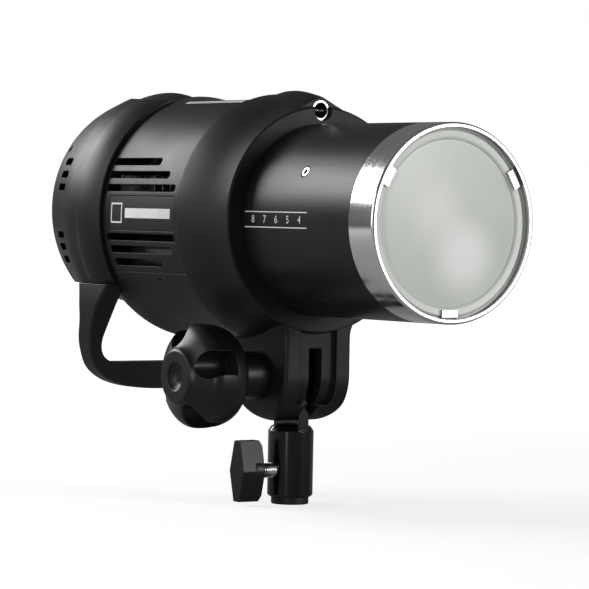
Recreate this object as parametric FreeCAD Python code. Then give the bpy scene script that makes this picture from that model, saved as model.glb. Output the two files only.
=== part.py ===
"""Monolight strobe on its stand adapter, in millimetres.

Row frame: origin at the mouth of the stand socket, +Z up, the light faces -Y, the tilt knob is on -X.
Head frame: origin on the optical axis at the front rim, +X and +Z as in the row frame, and +Y is the
station, the distance behind the front rim. save_head() moves a head shape into the row frame.
"""

import FreeCAD, Part
import math
import os

from FreeCAD import Vector

# ---------------------------------------------------------------- driving dimensions
TILT_Z = 68.0            # tilt axis above the socket mouth
AXIS_Z = 149.6           # optical axis above the socket mouth
TILT_STATION = 137.0     # tilt axis behind the front rim
TILT_DROP = AXIS_Z - TILT_Z
TILT = Vector(0, TILT_STATION, -TILT_DROP)

GAP = 0.3                # air between pieces on different bodies
SEAT = 0.05              # air between pieces that sit on each other
RUN = 0.05               # radial clearance of a running fit

TUBE_R = 50.0            # front tube, the diameter that light shapers clamp on
TUBE_WALL = 1.6
RING_END = 19.8          # the bright ring ends and the black tube starts
COLLAR_FACE = 113.0
COLLAR_REAR = 150.0
SPIGOT_R = 49.0          # the tube steps down to this inside the collar
SPIGOT_END = 142.0
COLLAR_R = 59.0          # collar at its face
BODY_R = 66.0            # casing
CASING_FLAT = 62.4       # flat top of the casing
CASING_REAR = 240.0      # the upper casing's rear edge, inside the bumper
BELLY_REAR = 226.0       # the lower casing's rear edge, where the bumper's belly starts
CASING_WALL = 2.5
SEAM_UP = -29.5          # level of the joint between the two casing shells

BUMPER_FRONT = 222.5
BUMPER_REAR = 292.0
BUMPER_R = 71.0
HOOP_FOOT = -37.0        # the bumper's dome ends at this level; the narrower belly is below it
REAR_RISE = 3.4          # the bumper's rear opening is this far above the optical axis
PANEL_R = 49.4
PANEL_FRONT = 283.0
PANEL_BACK = 285.5

UMBRELLA_UP = 57.0       # umbrella hole above the optical axis
UMBRELLA_R = 4.15        # takes an 8 mm shaft
UMBRELLA_OUT = 5.4
UMBRELLA_FRONT = 116.2
UMBRELLA_REAR = 149.0

LOBE_R = 24.0            # yoke lobes about the tilt axis
LEG_HALF = 21.0          # half the width of the yoke
SLOT_HALF = 4.0          # half the width of the slot that takes the tongue
SLOT_TOP = 14.6          # slot top above the tilt axis
STUD_R = 5.0             # tilt stud
KNOB_R = 27.0

SLEEVE_R = 12.0          # stand adapter
SLEEVE_BOTTOM = 4.0
SLEEVE_TOP = 38.5
SOCKET_R = 8.1           # takes a 16 mm stud
SOCKET_DEPTH = 36.0
BUSH_R = 9.6
LOCK_Z = 18.0            # axis of the locking screw
LOCK_R = 4.0             # M8 coarse thread
LOCK_PITCH = 1.25


# ---------------------------------------------------------------- helpers
def polar(radius, degrees):
    """x and up of a point on a circle about the optical axis."""
    angle = math.radians(degrees)
    return radius * math.cos(angle), radius * math.sin(angle)


def cyl_x(radius, x0, x1, y=0.0, z=0.0):
    return Part.makeCylinder(radius, x1 - x0, Vector(x0, y, z), Vector(1, 0, 0))


def cyl_y(radius, y0, y1, x=0.0, z=0.0):
    return Part.makeCylinder(radius, y1 - y0, Vector(x, y0, z), Vector(0, 1, 0))


def cyl_z(radius, z0, z1, x=0.0, y=0.0):
    return Part.makeCylinder(radius, z1 - z0, Vector(x, y, z0), Vector(0, 0, 1))


def ring_y(outer, inner, y0, y1, x=0.0, z=0.0):
    return cyl_y(outer, y0, y1, x, z).cut(cyl_y(inner, y0 - 1, y1 + 1, x, z))


def block(x0, x1, y0, y1, z0, z1):
    return Part.makeBox(x1 - x0, y1 - y0, z1 - z0, Vector(x0, y0, z0))


def spline(points):
    curve = Part.BSplineCurve()
    curve.interpolate(points)
    return curve.toShape()


def arc(start, middle, end):
    return Part.Arc(start, middle, end).toShape()


def closed_face(profile, place):
    """Face inside a closed profile. A pair is a corner; a list of pairs is one smooth curve through them."""
    edges = []
    last = None
    first = None
    for item in profile:
        points = [place(*pair) for pair in (item if isinstance(item, list) else [item])]
        if last is not None:
            edges.append(Part.makeLine(last, points[0]))
        else:
            first = points[0]
        if len(points) > 1:
            edges.append(spline(points))
        last = points[-1]
    edges.append(Part.makeLine(last, first))
    return Part.Face(Part.Wire(edges))


def turned_y(profile, x=0.0, z=0.0):
    """Closed profile of (station, radius), turned about a fore-and-aft axis."""
    face = closed_face(profile, lambda station, radius: Vector(x + radius, station, z))
    return face.revolve(Vector(x, 0, z), Vector(0, 1, 0), 360)


def turned_x(profile, y=0.0, z=0.0):
    """Closed profile of (x, radius), turned about an axis along X."""
    face = closed_face(profile, lambda along, radius: Vector(along, y, z + radius))
    return face.revolve(Vector(0, y, z), Vector(1, 0, 0), 360)


def turned_z(profile):
    """Closed profile of (height, radius), turned about the vertical axis."""
    face = closed_face(profile, lambda height, radius: Vector(radius, 0, height))
    return face.revolve(Vector(0, 0, 0), Vector(0, 0, 1), 360)


def soft_block(x0, x1, y0, y1, z0, z1, radius, along):
    """Block whose four edges along one axis ('x', 'y' or 'z') are rounded."""
    body = block(x0, x1, y0, y1, z0, z1)
    pick = {"x": 0, "y": 1, "z": 2}[along]
    chosen = []
    for edge in body.Edges:
        start, end = edge.Vertexes[0].Point, edge.Vertexes[1].Point
        if abs((end - start)[pick]) > 1e-6:
            chosen.append(edge)
    return body.makeFillet(radius, chosen)


def both_sides(shape):
    """The shape and its mirror image in the plane x = 0."""
    return [shape, shape.mirror(Vector(0, 0, 0), Vector(1, 0, 0))]


def radial(shape, degrees):
    """Turns a shape about the optical axis, from +X towards +Z."""
    turned = shape.copy()
    turned.rotate(Vector(0, 0, 0), Vector(0, 1, 0), -degrees)
    return turned


def fuse_all(shapes):
    return shapes[0].multiFuse(shapes[1:]).removeSplitter()


def save(name, shapes):
    if not isinstance(shapes, list):
        shapes = [shapes]
    solids = []
    for shape in shapes:
        if not shape.isValid():
            raise ValueError(name + " is not valid")
        solids.extend(shape.Solids)
    Part.makeCompound(solids).exportStep(os.path.join("parts", name + ".step"))
    print(name, len(solids), round(sum(solid.Volume for solid in solids)))


def save_head(name, shapes):
    if not isinstance(shapes, list):
        shapes = [shapes]
    moved = []
    for shape in shapes:
        placed = shape.copy()
        placed.translate(Vector(0, -TILT_STATION, AXIS_Z))
        moved.append(placed)
    save(name, moved)


def socket_screw(radius, length, socket_r, socket_depth):
    """Flush screw along +X whose outer face is at x = 0."""
    shank = cyl_x(radius * 0.55, -length, -radius * 0.6)
    head = turned_x([
        (-radius * 0.6, 0), (-radius * 0.6, radius), (-0.35, radius), (0, radius - 0.35), (0, 0),
    ])
    return head.fuse(shank).cut(cyl_x(socket_r, -socket_depth, 1)).removeSplitter()


# ---------------------------------------------------------------- front: tube, ring, glass
TUBE_SCREW_ANGLES = (29.3, -50.2, 150.7, 230.2)
TUBE_SCREW_STATION = 66.0
TUBE_SCREW_R = 3.2


def tube_screw_places(shape):
    """One copy of a shape made along +X, at each screw of the front tube."""
    placed = []
    for angle in TUBE_SCREW_ANGLES:
        copy = radial(shape, angle)
        copy.translate(Vector(0, TUBE_SCREW_STATION, 0))
        placed.append(copy)
    return placed


def front_tube():
    inner = TUBE_R - TUBE_WALL
    shell = ring_y(TUBE_R, inner, RING_END, COLLAR_FACE - SEAT)
    spigot = ring_y(SPIGOT_R, inner - 1.0, COLLAR_FACE - 6, SPIGOT_END)
    lip = ring_y(TUBE_R - TUBE_WALL + SEAT, inner - 1.6, RING_END, RING_END + 8)
    pocket = cyl_x(TUBE_SCREW_R + SEAT, 44, 52)
    return fuse_all([shell, spigot, lip]).cut(Part.makeCompound(tube_screw_places(pocket)))


def tube_screws():
    screw = socket_screw(TUBE_SCREW_R, 5.5, 1.3, 1.6)
    screw.translate(Vector(TUBE_R - 0.15, 0, 0))
    return tube_screw_places(screw)


def front_ring():
    profile = [
        (0.0, 47.6), (0.0, 49.0), (0.5, 49.7), (1.2, 50.0), (RING_END, 50.0),
        (RING_END, 48.4), (2.4, 48.4), (1.6, 47.6),
    ]
    return turned_y(profile)


GLASS_FRONT = 3.2
GLASS_R = 46.2
DOME_RISE = 2.4


def glass_plate():
    """Frosted plate with a raised border round a shallow dome."""
    border = 41.3
    steps = 8
    dome = []
    for i in range(steps + 1):
        share = i / steps
        dome.append((GLASS_FRONT + 1.4 - DOME_RISE * (1 - share ** 2), border * share))
    profile = [
        dome, (GLASS_FRONT + 0.6, border + 0.5), (GLASS_FRONT + 0.2, border + 1.4),
        (GLASS_FRONT, GLASS_R - 0.8), (GLASS_FRONT + 0.6, GLASS_R), (GLASS_FRONT + 4.4, GLASS_R),
        (GLASS_FRONT + 4.4, 0.0),
    ]
    return turned_y(profile)


CLIP_ANGLES = (30, 150, 270)


def glass_clips():
    """Bent spring strips between the ring and the glass, hooked over the glass border."""
    clip_half = 5.0
    outline = [
        (GLASS_FRONT - 1.2, 42.6), (GLASS_FRONT - 0.4, 42.6), (GLASS_FRONT - 0.4, 46.4),
        (GLASS_FRONT + 14, 47.2), (GLASS_FRONT + 14, 47.9), (GLASS_FRONT + 1, 47.4),
        (GLASS_FRONT - 1.2, 46.6),
    ]
    corners = [Vector(radius, station, -clip_half) for station, radius in outline]
    strip = Part.Face(Part.makePolygon(corners + corners[:1])).extrude(Vector(0, 0, 2 * clip_half))
    keep = cyl_y(48.3, 0, 30)
    return [radial(strip, angle).common(keep) for angle in CLIP_ANGLES]


DISH_FRONT = 9.2
DISH_BACK = 74.0
DISH_WALL = 0.8
LAMP_PLATE = 76.0


def reflector():
    """Thin spun dish that opens towards the glass."""
    outer = []
    steps = 10
    for i in range(steps + 1):
        share = i / steps
        outer.append((DISH_BACK + (DISH_FRONT - DISH_BACK) * share, 33.0 + 13.0 * share ** 0.6))
    inner = [(station, radius - DISH_WALL) for station, radius in reversed(outer)]
    return turned_y([outer, inner])


FLASH_RING_R = 24.0
FLASH_TUBE_R = 4.0
FLASH_STATION = 58.0
ELECTRODE_ANGLES = (-105, -75)


def lamp_plate():
    disc = cyl_y(46.0, LAMP_PLATE, LAMP_PLATE + 5)
    holes = [cyl_y(13.4, LAMP_PLATE - 1, LAMP_PLATE + 6)]
    for angle in ELECTRODE_ANGLES:
        x, z = polar(FLASH_RING_R, angle)
        holes.append(cyl_y(FLASH_TUBE_R + 0.3, LAMP_PLATE - 1, LAMP_PLATE + 6, x, z))
    return disc.cut(Part.makeCompound(holes))


def flash_tube():
    """Glass ring, open at the bottom, whose two ends run back to their sockets."""
    start, end = ELECTRODE_ANGLES[1], ELECTRODE_ANGLES[0] + 360
    circle = Part.Circle(Vector(FLASH_RING_R, FLASH_STATION, 0), Vector(0, 0, 1), FLASH_TUBE_R)
    disc = Part.Face(Part.Wire(circle.toShape()))
    ring = disc.revolve(Vector(0, 0, 0), Vector(0, 1, 0), -(end - start))
    ring = radial(ring, start)
    pieces = [ring]
    for angle in ELECTRODE_ANGLES:
        x, z = polar(FLASH_RING_R, angle)
        pieces.append(Part.makeSphere(FLASH_TUBE_R, Vector(x, FLASH_STATION, z)))
        pieces.append(cyl_y(FLASH_TUBE_R, FLASH_STATION, LAMP_PLATE + 4, x, z))
    return fuse_all(pieces)


def flash_sockets():
    sockets = []
    for angle in ELECTRODE_ANGLES:
        x, z = polar(FLASH_RING_R, angle)
        sockets.append(cyl_y(5.4, LAMP_PLATE + 5, LAMP_PLATE + 19, x, z))
    return sockets


def modelling_lamp():
    profile = [
        (34, 0), (34.6, 4), (37, 8.2), (41, 9.6), (64, 9.6), (68, 8.6), (72, 7.0), (88, 7.0), (88, 0),
    ]
    return turned_y(profile)


def lamp_socket():
    body = cyl_y(13.0, LAMP_PLATE - 4, 104)
    return body.cut(cyl_y(7.0 + SEAT, LAMP_PLATE - 5, 88 + SEAT))


# ---------------------------------------------------------------- collar and yoke
SHOULDER = 13.0          # radius of the concave shoulders under the collar
TOE_R = 13.0             # corner radius of the yoke's feet, seen from the front
WEB_INSET = 9.5          # width of the raised band that frames the yoke's web
BOSS_SECTIONS = (        # (station, top, body radius under it, radius of its crest)
    (115.4, 63.6, 58.0, 7.6), (119.0, 64.8, 58.5, 9.0), (125.0, 66.0, 59.6, 10.5), (133.0, 67.3, 61.6, 11.5),
    (141.0, 67.7, 63.6, 12.0), (149.0, 66.7, 64.4, 12.5), (155.0, 64.6, 62.5, 13.0), (160.5, 62.0, 60.5, 13.0),
)
COLLAR_FLARE = [         # (station, radius) of the collar's outside, behind its bevelled face
    (COLLAR_FACE + 0.7, COLLAR_R), (119.5, 59.7), (126, 60.9), (132.5, 62.6), (138, 64.0), (144, 65.2),
    (COLLAR_REAR, BODY_R),
]


def boss_wire(station, top, base, nose, rise=0.0):
    """Section of a hump: a small arc on top, flanks that touch the body's circle, and a straight foot."""
    up = top - nose - rise
    flank = math.degrees(math.acos((base - nose) / up))
    tip = [polar(nose, angle) for angle in (90 - flank, 90, 90 + flank)]
    tip = [Vector(x, station, z + up + rise) for x, z in tip]
    feet = [polar(base, angle) for angle in (90 + flank, 90 - flank)]
    feet = [Vector(x, station, z + rise) for x, z in feet]
    keel = Vector(0, station, base * 0.55 + rise)
    return Part.Wire([
        arc(*tip), Part.makeLine(tip[2], feet[0]), Part.makeLine(feet[0], keel),
        Part.makeLine(keel, feet[1]), Part.makeLine(feet[1], tip[0]),
    ])


def yoke_front(inset):
    """Yoke seen from the front, as a long prism, with concave shoulders under the collar."""
    half = LEG_HALF - inset
    foot = -TILT_DROP - LOBE_R - 0.8 + inset
    corner = TOE_R - inset
    top = -math.sqrt(COLLAR_R ** 2 - (LEG_HALF + SHOULDER) ** 2) + inset
    half_turn = math.sqrt(0.5)

    def side(sign):
        def at(x, z):
            return Vector(sign * x, 90, z)
        shoulder = arc(
            at(half + SHOULDER, top),
            at(half + SHOULDER * (1 - half_turn), top - SHOULDER * (1 - half_turn)),
            at(half, top - SHOULDER))
        toe = arc(
            at(half, foot + corner),
            at(half - corner * (1 - half_turn), foot + corner * (1 - half_turn)),
            at(half - corner, foot))
        return [shoulder, Part.makeLine(at(half, top - SHOULDER), at(half, foot + corner)), toe]

    across = [
        Part.makeLine(Vector(-half - SHOULDER, 90, top), Vector(half + SHOULDER, 90, top)),
        Part.makeLine(Vector(-half + corner, 90, foot), Vector(half - corner, 90, foot)),
    ]
    wire = Part.Wire(Part.__sortEdges__(side(1) + side(-1) + across))
    return Part.Face(wire).extrude(Vector(0, 95, 0))


def yoke_side(inset):
    """Side view of the yoke: a leg as deep as its lobe, whose foot is round about the tilt axis."""
    radius = LOBE_R - inset
    leg = block(-60, 60, TILT_STATION - radius, TILT_STATION + radius, -TILT_DROP, -38)
    return leg.fuse(cyl_x(radius, -60, 60, TILT_STATION, -TILT_DROP)).removeSplitter()


def rounded_legs():
    """Yoke legs whose outer edges are rounded."""
    legs = yoke_front(0).common(yoke_side(0)).removeSplitter()
    edges = []
    for edge in legs.Edges:
        if min(abs(vertex.X) for vertex in edge.Vertexes) > LEG_HALF - 0.1 and edge.Length > 5:
            if max(abs(vertex.X) for vertex in edge.Vertexes) < LEG_HALF + 0.1:
                edges.append(edge)
    return legs.makeFillet(2.4, edges)


def front_collar():
    """Cast ring behind the front tube, with the hump that holds the umbrella tube."""
    ring = turned_y([
        (COLLAR_REAR, 59.4), (158, 59.4), (158, 54.0), (156, 54.0), (156, 46.0),
        (COLLAR_FACE, 46.0), (COLLAR_FACE, COLLAR_R - 0.9), COLLAR_FLARE,
    ])
    boss = Part.makeLoft([boss_wire(*section) for section in BOSS_SECTIONS], True, False)
    shell_space = casing_hull(SEAT, COLLAR_REAR, 190).cut(casing_hull(-CASING_WALL - SEAT, 140, 200))
    tools = [
        cyl_y(SPIGOT_R + SEAT, COLLAR_FACE - 30, SPIGOT_END + SEAT),
        cyl_y(44.0, 100, 170),
        cyl_y(UMBRELLA_OUT + SEAT, 100, UMBRELLA_REAR + SEAT, 0, UMBRELLA_UP),
        shell_space,
    ]
    return ring.fuse(boss).removeSplitter().cut(Part.makeCompound(tools))


def tilt_yoke():
    """Fork under the collar: a raised band round a thinner web, split by the slot for the tongue."""
    web = yoke_front(WEB_INSET).common(yoke_side(3.0))
    frame = rounded_legs().cut(yoke_front(WEB_INSET))
    reach = TILT_STATION + LOBE_R + 5
    head = turned_y([
        (COLLAR_FACE, 0), (COLLAR_FACE, COLLAR_R - 0.9), COLLAR_FLARE,
        (COLLAR_REAR, BODY_R + SEAT), (reach, BODY_R + SEAT), (reach, 0),
    ])
    tools = [
        head,
        block(-SLOT_HALF, SLOT_HALF, 90, 190, -130, -TILT_DROP + SLOT_TOP),
        cyl_x(STUD_R + 0.2, -80, 80, TILT.y, TILT.z),
        cyl_x(9.0, LEG_HALF - 8, 40, TILT.y, TILT.z),
    ]
    return fuse_all([frame, web]).cut(Part.makeCompound(tools))


def umbrella_tube():
    """Blind liner of the umbrella hole, with a bright lip at its mouth."""
    length = UMBRELLA_REAR - UMBRELLA_FRONT
    tube = cyl_y(UMBRELLA_OUT, UMBRELLA_FRONT, UMBRELLA_REAR, 0, UMBRELLA_UP)
    tube = tube.fuse(cyl_y(UMBRELLA_OUT - 0.1, UMBRELLA_FRONT - 0.8, UMBRELLA_FRONT, 0, UMBRELLA_UP))
    bore = cyl_y(UMBRELLA_R, UMBRELLA_FRONT - 2, UMBRELLA_FRONT + length - 1.2, 0, UMBRELLA_UP)
    return tube.removeSplitter().cut(bore)


# ---------------------------------------------------------------- tilt clamp
SPACER_OUT = 37.8
KNOB_IN = 39.4           # inner face of the knob at rest, from the centre plane
KNOB_FACE = 73.4


def tilt_x(profile):
    """Turned solid on the tilt axis, from (distance from the centre plane, radius) on the knob side."""
    face = closed_face(profile, lambda out, radius: Vector(-out, TILT.y, TILT.z + radius))
    return face.revolve(TILT, Vector(1, 0, 0), 360)


def tilt_spacer():
    profile = [
        (LEG_HALF + SEAT, STUD_R + 0.2), (LEG_HALF + SEAT, 11.7), (LEG_HALF + 0.9, 12.5),
        (SPACER_OUT - 0.8, 12.5), (SPACER_OUT, 11.7), (SPACER_OUT, STUD_R + 0.2),
    ]
    return tilt_x(profile)


def tilt_washer():
    """Thrust washer between the spacer and the knob; it has a short guide neck inside the knob."""
    return tilt_x([(SPACER_OUT + GAP, 5.1), (SPACER_OUT + GAP, 10.5), (KNOB_IN - GAP, 10.5), (KNOB_IN - GAP, 5.1)])


def tilt_stud():
    """Hex-headed stud held in the far leg."""
    hexagon = []
    for i in range(6):
        y, z = polar(8.4, 60 * i)
        hexagon.append(Vector(LEG_HALF - 7.9, TILT.y + y, TILT.z + z))
    head = Part.Face(Part.makePolygon(hexagon + hexagon[:1])).extrude(Vector(6.4, 0, 0))
    return head.fuse(cyl_x(STUD_R, -62, LEG_HALF - 7.5, TILT.y, TILT.z)).removeSplitter()


KNOB_SCALLOPS = (18, 108, 198, 288)
SCALLOP_R = 7.2
SCALLOP_PLACE = 22.6     # radius of the circle that the scallops' axes stand on


def tilt_knob():
    outline = [
        (KNOB_IN, 6.9),
        [(KNOB_IN, 13.0), (40.6, 18.8), (43.5, 23.0), (48, 25.6), (53, 26.7), (58.5, KNOB_R), (62.6, 26.5),
         (65.6, 24.4), (67.6, 21.4), (69.4, 18.0), (71.4, 15.2)],
        (KNOB_FACE - 0.5, 13.9), (KNOB_FACE, 13.0), (KNOB_FACE, 7.6), (KNOB_FACE - 0.6, 6.9),
    ]
    knob = tilt_x(outline)
    for angle in KNOB_SCALLOPS:
        y, z = polar(SCALLOP_PLACE, angle)
        place = Vector(-KNOB_FACE - 10, TILT.y - y, TILT.z + z)
        cutter = Part.makeCylinder(SCALLOP_R, KNOB_FACE - KNOB_IN - 2, place, Vector(1, 0, 0))
        knob = knob.cut(cutter)
    return knob


def knob_insert():
    """Threaded brass insert that is moulded into the knob."""
    return tilt_x([(KNOB_IN + 0.3, STUD_R + RUN), (KNOB_IN + 0.3, 6.85), (66.6, 6.85), (66.6, 1.0),
                   (64.0, 1.0), (64.0, STUD_R + RUN)])


# ---------------------------------------------------------------- stand adapter
TONGUE_HALF = 3.1
DISC_THICK = 0.5


def adapter_body():
    sleeve = turned_z([
        (SLEEVE_BOTTOM, 0), (SLEEVE_BOTTOM, SLEEVE_R - 1.0), (SLEEVE_BOTTOM + 1.0, SLEEVE_R),
        (SLEEVE_TOP, SLEEVE_R), (SLEEVE_TOP + 2.4, SLEEVE_R - 1.6), (SLEEVE_TOP + 3.8, SLEEVE_R - 4.4),
        (SLEEVE_TOP + 3.8, 0),
    ])
    blade = block(-TONGUE_HALF, TONGUE_HALF, -11.5, 11.5, SLEEVE_TOP - 3, TILT_Z)
    lobe = cyl_x(13.9, -TONGUE_HALF, TONGUE_HALF, 0, TILT_Z)
    body = fuse_all([sleeve, blade, lobe])
    tools = [
        cyl_x(STUD_R + RUN, -20, 20, 0, TILT_Z),
        cyl_z(BUSH_R + SEAT, -1, SOCKET_DEPTH + 0.8 + SEAT),
        cyl_x(LOCK_R + RUN, -20, 0, 0, LOCK_Z),
    ]
    return body.cut(Part.makeCompound(tools))


def adapter_bush():
    """Lining of the stand socket: a lip at the mouth, a side hole for the lock, and a closed end."""
    profile = [
        (0.0, 0.0), (0.0, 9.4), (0.5, 9.9), (3.4, 9.9), (SLEEVE_BOTTOM - SEAT, 9.9),
        (SLEEVE_BOTTOM - SEAT, BUSH_R), (SOCKET_DEPTH + 0.8, BUSH_R), (SOCKET_DEPTH + 0.8, 0.0),
    ]
    bore = cyl_z(SOCKET_R, -1.0, SOCKET_DEPTH)
    side_hole = cyl_x(LOCK_R + RUN, -20, 0, 0, LOCK_Z)
    return turned_z(profile).cut(Part.makeCompound([bore, side_hole]))


def friction_discs():
    disc = cyl_x(13.4, TONGUE_HALF + SEAT, TONGUE_HALF + DISC_THICK, 0, TILT_Z)
    return both_sides(disc.cut(cyl_x(STUD_R + 0.25, 0, 10, 0, TILT_Z)))


LOCK_INNER = 10.3        # inner end of the lock's thread, from the socket's axis
LOCK_END = 30.5          # its other end, inside the wing
PAD_FACE = 8.7


def lock_pad():
    """Brass pad at the end of the lock screw; it slides without turning."""
    return cyl_x(3.6, -(LOCK_INNER - 0.2), -PAD_FACE, 0, LOCK_Z)


def lock_thread():
    """Threaded shank as close rings, ending in a plain collar inside the wing knob."""
    teeth = [(-LOCK_INNER, 0.0)]
    turns = int((21.0 - LOCK_INNER) / LOCK_PITCH)
    for i in range(turns):
        start = LOCK_INNER + i * LOCK_PITCH
        teeth.append((-start, LOCK_R - 0.55))
        teeth.append((-(start + LOCK_PITCH * 0.4), LOCK_R))
        teeth.append((-(start + LOCK_PITCH * 0.6), LOCK_R))
    teeth.append((-(LOCK_INNER + turns * LOCK_PITCH), LOCK_R - 0.55))
    teeth.append((-LOCK_END, LOCK_R - 0.55))
    teeth.append((-LOCK_END, 0.0))
    return turned_x(teeth, 0, LOCK_Z)


WING_IN = 20.4
WING_OUT = 34.0
WING_HALF_TALL = 16.0
WING_HALF_WIDE = 6.6


def lock_wing():
    """Wing of a flat six-sided section with bevelled inner ends, on a round hub."""
    corners = [
        (-2.6, WING_HALF_TALL), (2.6, WING_HALF_TALL), (WING_HALF_WIDE, 0.0),
        (2.6, -WING_HALF_TALL), (-2.6, -WING_HALF_TALL), (-WING_HALF_WIDE, 0.0),
    ]
    points = [Vector(-WING_OUT, y, LOCK_Z + z) for y, z in corners]
    wing = Part.Face(Part.makePolygon(points + points[:1])).extrude(Vector(WING_OUT - WING_IN, 0, 0))
    limits = turned_x([
        (-WING_IN, 0), (-WING_IN, 13.6), (-WING_IN - 2.2, 17.0), (-WING_OUT + 0.6, 17.0),
        (-WING_OUT, 15.8), (-WING_OUT, 0),
    ], 0, LOCK_Z)
    hub = turned_x([
        (-WING_IN, 0), (-WING_IN, 6.0), (-WING_IN - 1.0, 7.0), (-WING_IN - 5.0, 7.0),
        (-WING_IN - 6.0, 6.0), (-WING_IN - 6.0, 0),
    ], 0, LOCK_Z)
    body = fuse_all([wing.common(limits), hub])
    return body.cut(cyl_x(LOCK_R - 0.55 + SEAT, -LOCK_END - SEAT, -10, 0, LOCK_Z))


# ---------------------------------------------------------------- casing
VENT_TALL = 3.8
VENT_ROWS = (          # (up, front station, rear station)
    (29.0, 174.8, 221.0), (22.0, 162.4, 221.0), (15.0, 153.8, 221.0),
    (-11.0, 151.8, 219.3), (-17.5, 157.3, 217.0), (-24.3, 170.2, 215.6),
)
PLATE_LOW = -7.6
PLATE_HIGH = 11.0
PLATE_FRONT = 153.0
PLATE_REAR = 217.0
STRIP_ANGLE = 68.9       # pale strips along the casing's shoulders, beside the flat top
STRIP_HALF = 1.5
STRIP_FRONT = 151.5
STRIP_REAR = 206.0
CASING_SCREWS = ((178.0, -30.0), (187.0, -59.6))     # (station, degrees)
SIDE_SCREW_R = 2.1


def side_screw_places(shape):
    """Copies of a shape made along +X, at the casing screws of both sides."""
    placed = []
    for station, angle in CASING_SCREWS:
        for turned in (radial(shape, angle), radial(shape, 180 - angle)):
            turned.translate(Vector(0, station, 0))
            placed.append(turned)
    return placed


def vent_slot(up, front, rear, depth):
    """Slot with a round front end, cut through one side wall (+X)."""
    half = VENT_TALL / 2
    straight = block(40, depth, front + half, rear, up - half, up + half)
    nose = Part.makeCylinder(half, depth - 40, Vector(40, front + half, up), Vector(1, 0, 0))
    return straight.fuse(nose).removeSplitter()


def casing_hull(offset, y0, y1):
    body = cyl_y(BODY_R + offset, y0, y1)
    return body.cut(block(-90, 90, y0 - 1, y1 + 1, CASING_FLAT + offset, 90))


def shoulder_band(inner, outer, margin):
    """Space along both shoulders between two radii, grown by a margin."""
    half = STRIP_HALF + margin
    slab = block(inner - 2, outer, STRIP_FRONT - margin, STRIP_REAR + margin, -half, half)
    band = radial(slab, STRIP_ANGLE).common(ring_y(outer - 1, inner, STRIP_FRONT - 5, STRIP_REAR + 5))
    return both_sides(band)


def casing_shell():
    shell = casing_hull(0, COLLAR_REAR + SEAT, CASING_REAR).cut(casing_hull(-CASING_WALL, 140, 250))
    cutters = []
    for up, front, rear in VENT_ROWS:
        cutters.extend(both_sides(vent_slot(up, front, rear, 80)))
    recess = ring_y(70, BODY_R - 0.7, PLATE_FRONT, PLATE_REAR)
    band = block(50, 80, PLATE_FRONT, PLATE_REAR, PLATE_LOW, PLATE_HIGH)
    cutters.extend(both_sides(recess.common(band)))
    cutters.extend(shoulder_band(BODY_R - 0.6, 80, 0.15))
    cutters.extend(side_screw_places(cyl_x(SIDE_SCREW_R + SEAT, 60, 70)))
    return shell.cut(Part.makeCompound(cutters))


def upper_casing():
    return casing_shell().common(block(-90, 90, 140, 250, SEAM_UP + 0.1, 90))


def lower_casing():
    return casing_shell().common(block(-90, 90, 140, BELLY_REAR, -90, SEAM_UP - 0.1))


def casing_screws():
    screw = socket_screw(SIDE_SCREW_R, 6.5, 1.0, 1.3)
    screw.translate(Vector(BODY_R - 0.1, 0, 0))
    return side_screw_places(screw)


def side_plates():
    strip = ring_y(BODY_R - 0.15, BODY_R - 0.65, PLATE_FRONT + 0.4, PLATE_REAR - 0.4)
    band = block(50, 80, PLATE_FRONT, PLATE_REAR, PLATE_LOW + 0.4, PLATE_HIGH - 0.4)
    return both_sides(strip.common(band))


def shoulder_strips():
    return shoulder_band(BODY_R - 0.55, BODY_R + 1.05, 0)


# ---------------------------------------------------------------- rear bumper with its handle
BUMPER_SECTIONS = (      # (station, radius, rise of the centre) of the dome
    (240.0, 71.0, 0.0), (250.0, 70.3, 0.5), (260.0, 68.4, 1.2), (270.0, 65.4, 2.0),
    (280.0, 62.2, 2.8), (286.0, 59.7, 3.2), (290.0, 57.1, 3.3), (BUMPER_REAR, 54.4, REAR_RISE),
)
HOOP_SWELL = [           # (station, radius) from the rim to the dome
    (BUMPER_FRONT + 0.4, 68.3), (226.0, 69.2), (230.0, 70.15), (235.0, 70.85), (240.0, BUMPER_R),
]
BUMPER_CREST = [         # (station, up) of the dome's flattened top, beside the hump
    (215.0, 63.2), (226.0, 63.3), (240.0, 63.8), (255.0, 64.4), (270.0, 64.6), (280.0, 64.2), (292.0, 61.5),
]
REAR_BOSS_SECTIONS = (   # (station, top, body radius under it, radius of its crest, rise)
    (228.0, 63.1, 61.8, 13.0), (234.0, 64.4, 62.2, 13.0), (240.0, 66.0, 62.6, 13.0), (246.0, 67.3, 63.0, 13.0),
    (254.0, 68.4, 63.4, 13.0, 0.5), (262.0, 68.7, 63.2, 13.0, 1.0), (270.0, 68.3, 62.4, 13.0, 1.5),
    (279.0, 67.2, 60.6, 13.0, 2.3), (286.5, 65.3, 58.4, 13.0, 3.1), (289.5, 62.6, 57.0, 12.0, 3.3),
)
BELLY = [                # (station, radius) of the rounded belly under the dome
    (BELLY_REAR + SEAT, 66.0), (230.0, 65.3), (235.0, 63.6), (240.0, 61.4), (250.0, 57.2), (260.0, 53.8),
    (270.0, 51.5), (280.0, 50.0), (288.0, 49.0), (BUMPER_REAR - 0.5, 48.2),
]
BUMPER_WALL = 2.5
HANDLE_HALF = 62.6       # half the width across the handle's arms
HANDLE_TOP = -80.5       # top of the cross-bar
HANDLE_FOOT = -96.2
HANDLE_IN = 51.4         # half the finger gap
HANDLE_EDGE = 2.6
BUMPER_SCREW_ANGLES = (-34.0, 34.0, 146.0, 214.0)
BUMPER_SCREW_STATION = 277.0


def above(level):
    return block(-95, 95, 190, 330, level, 110)


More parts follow.
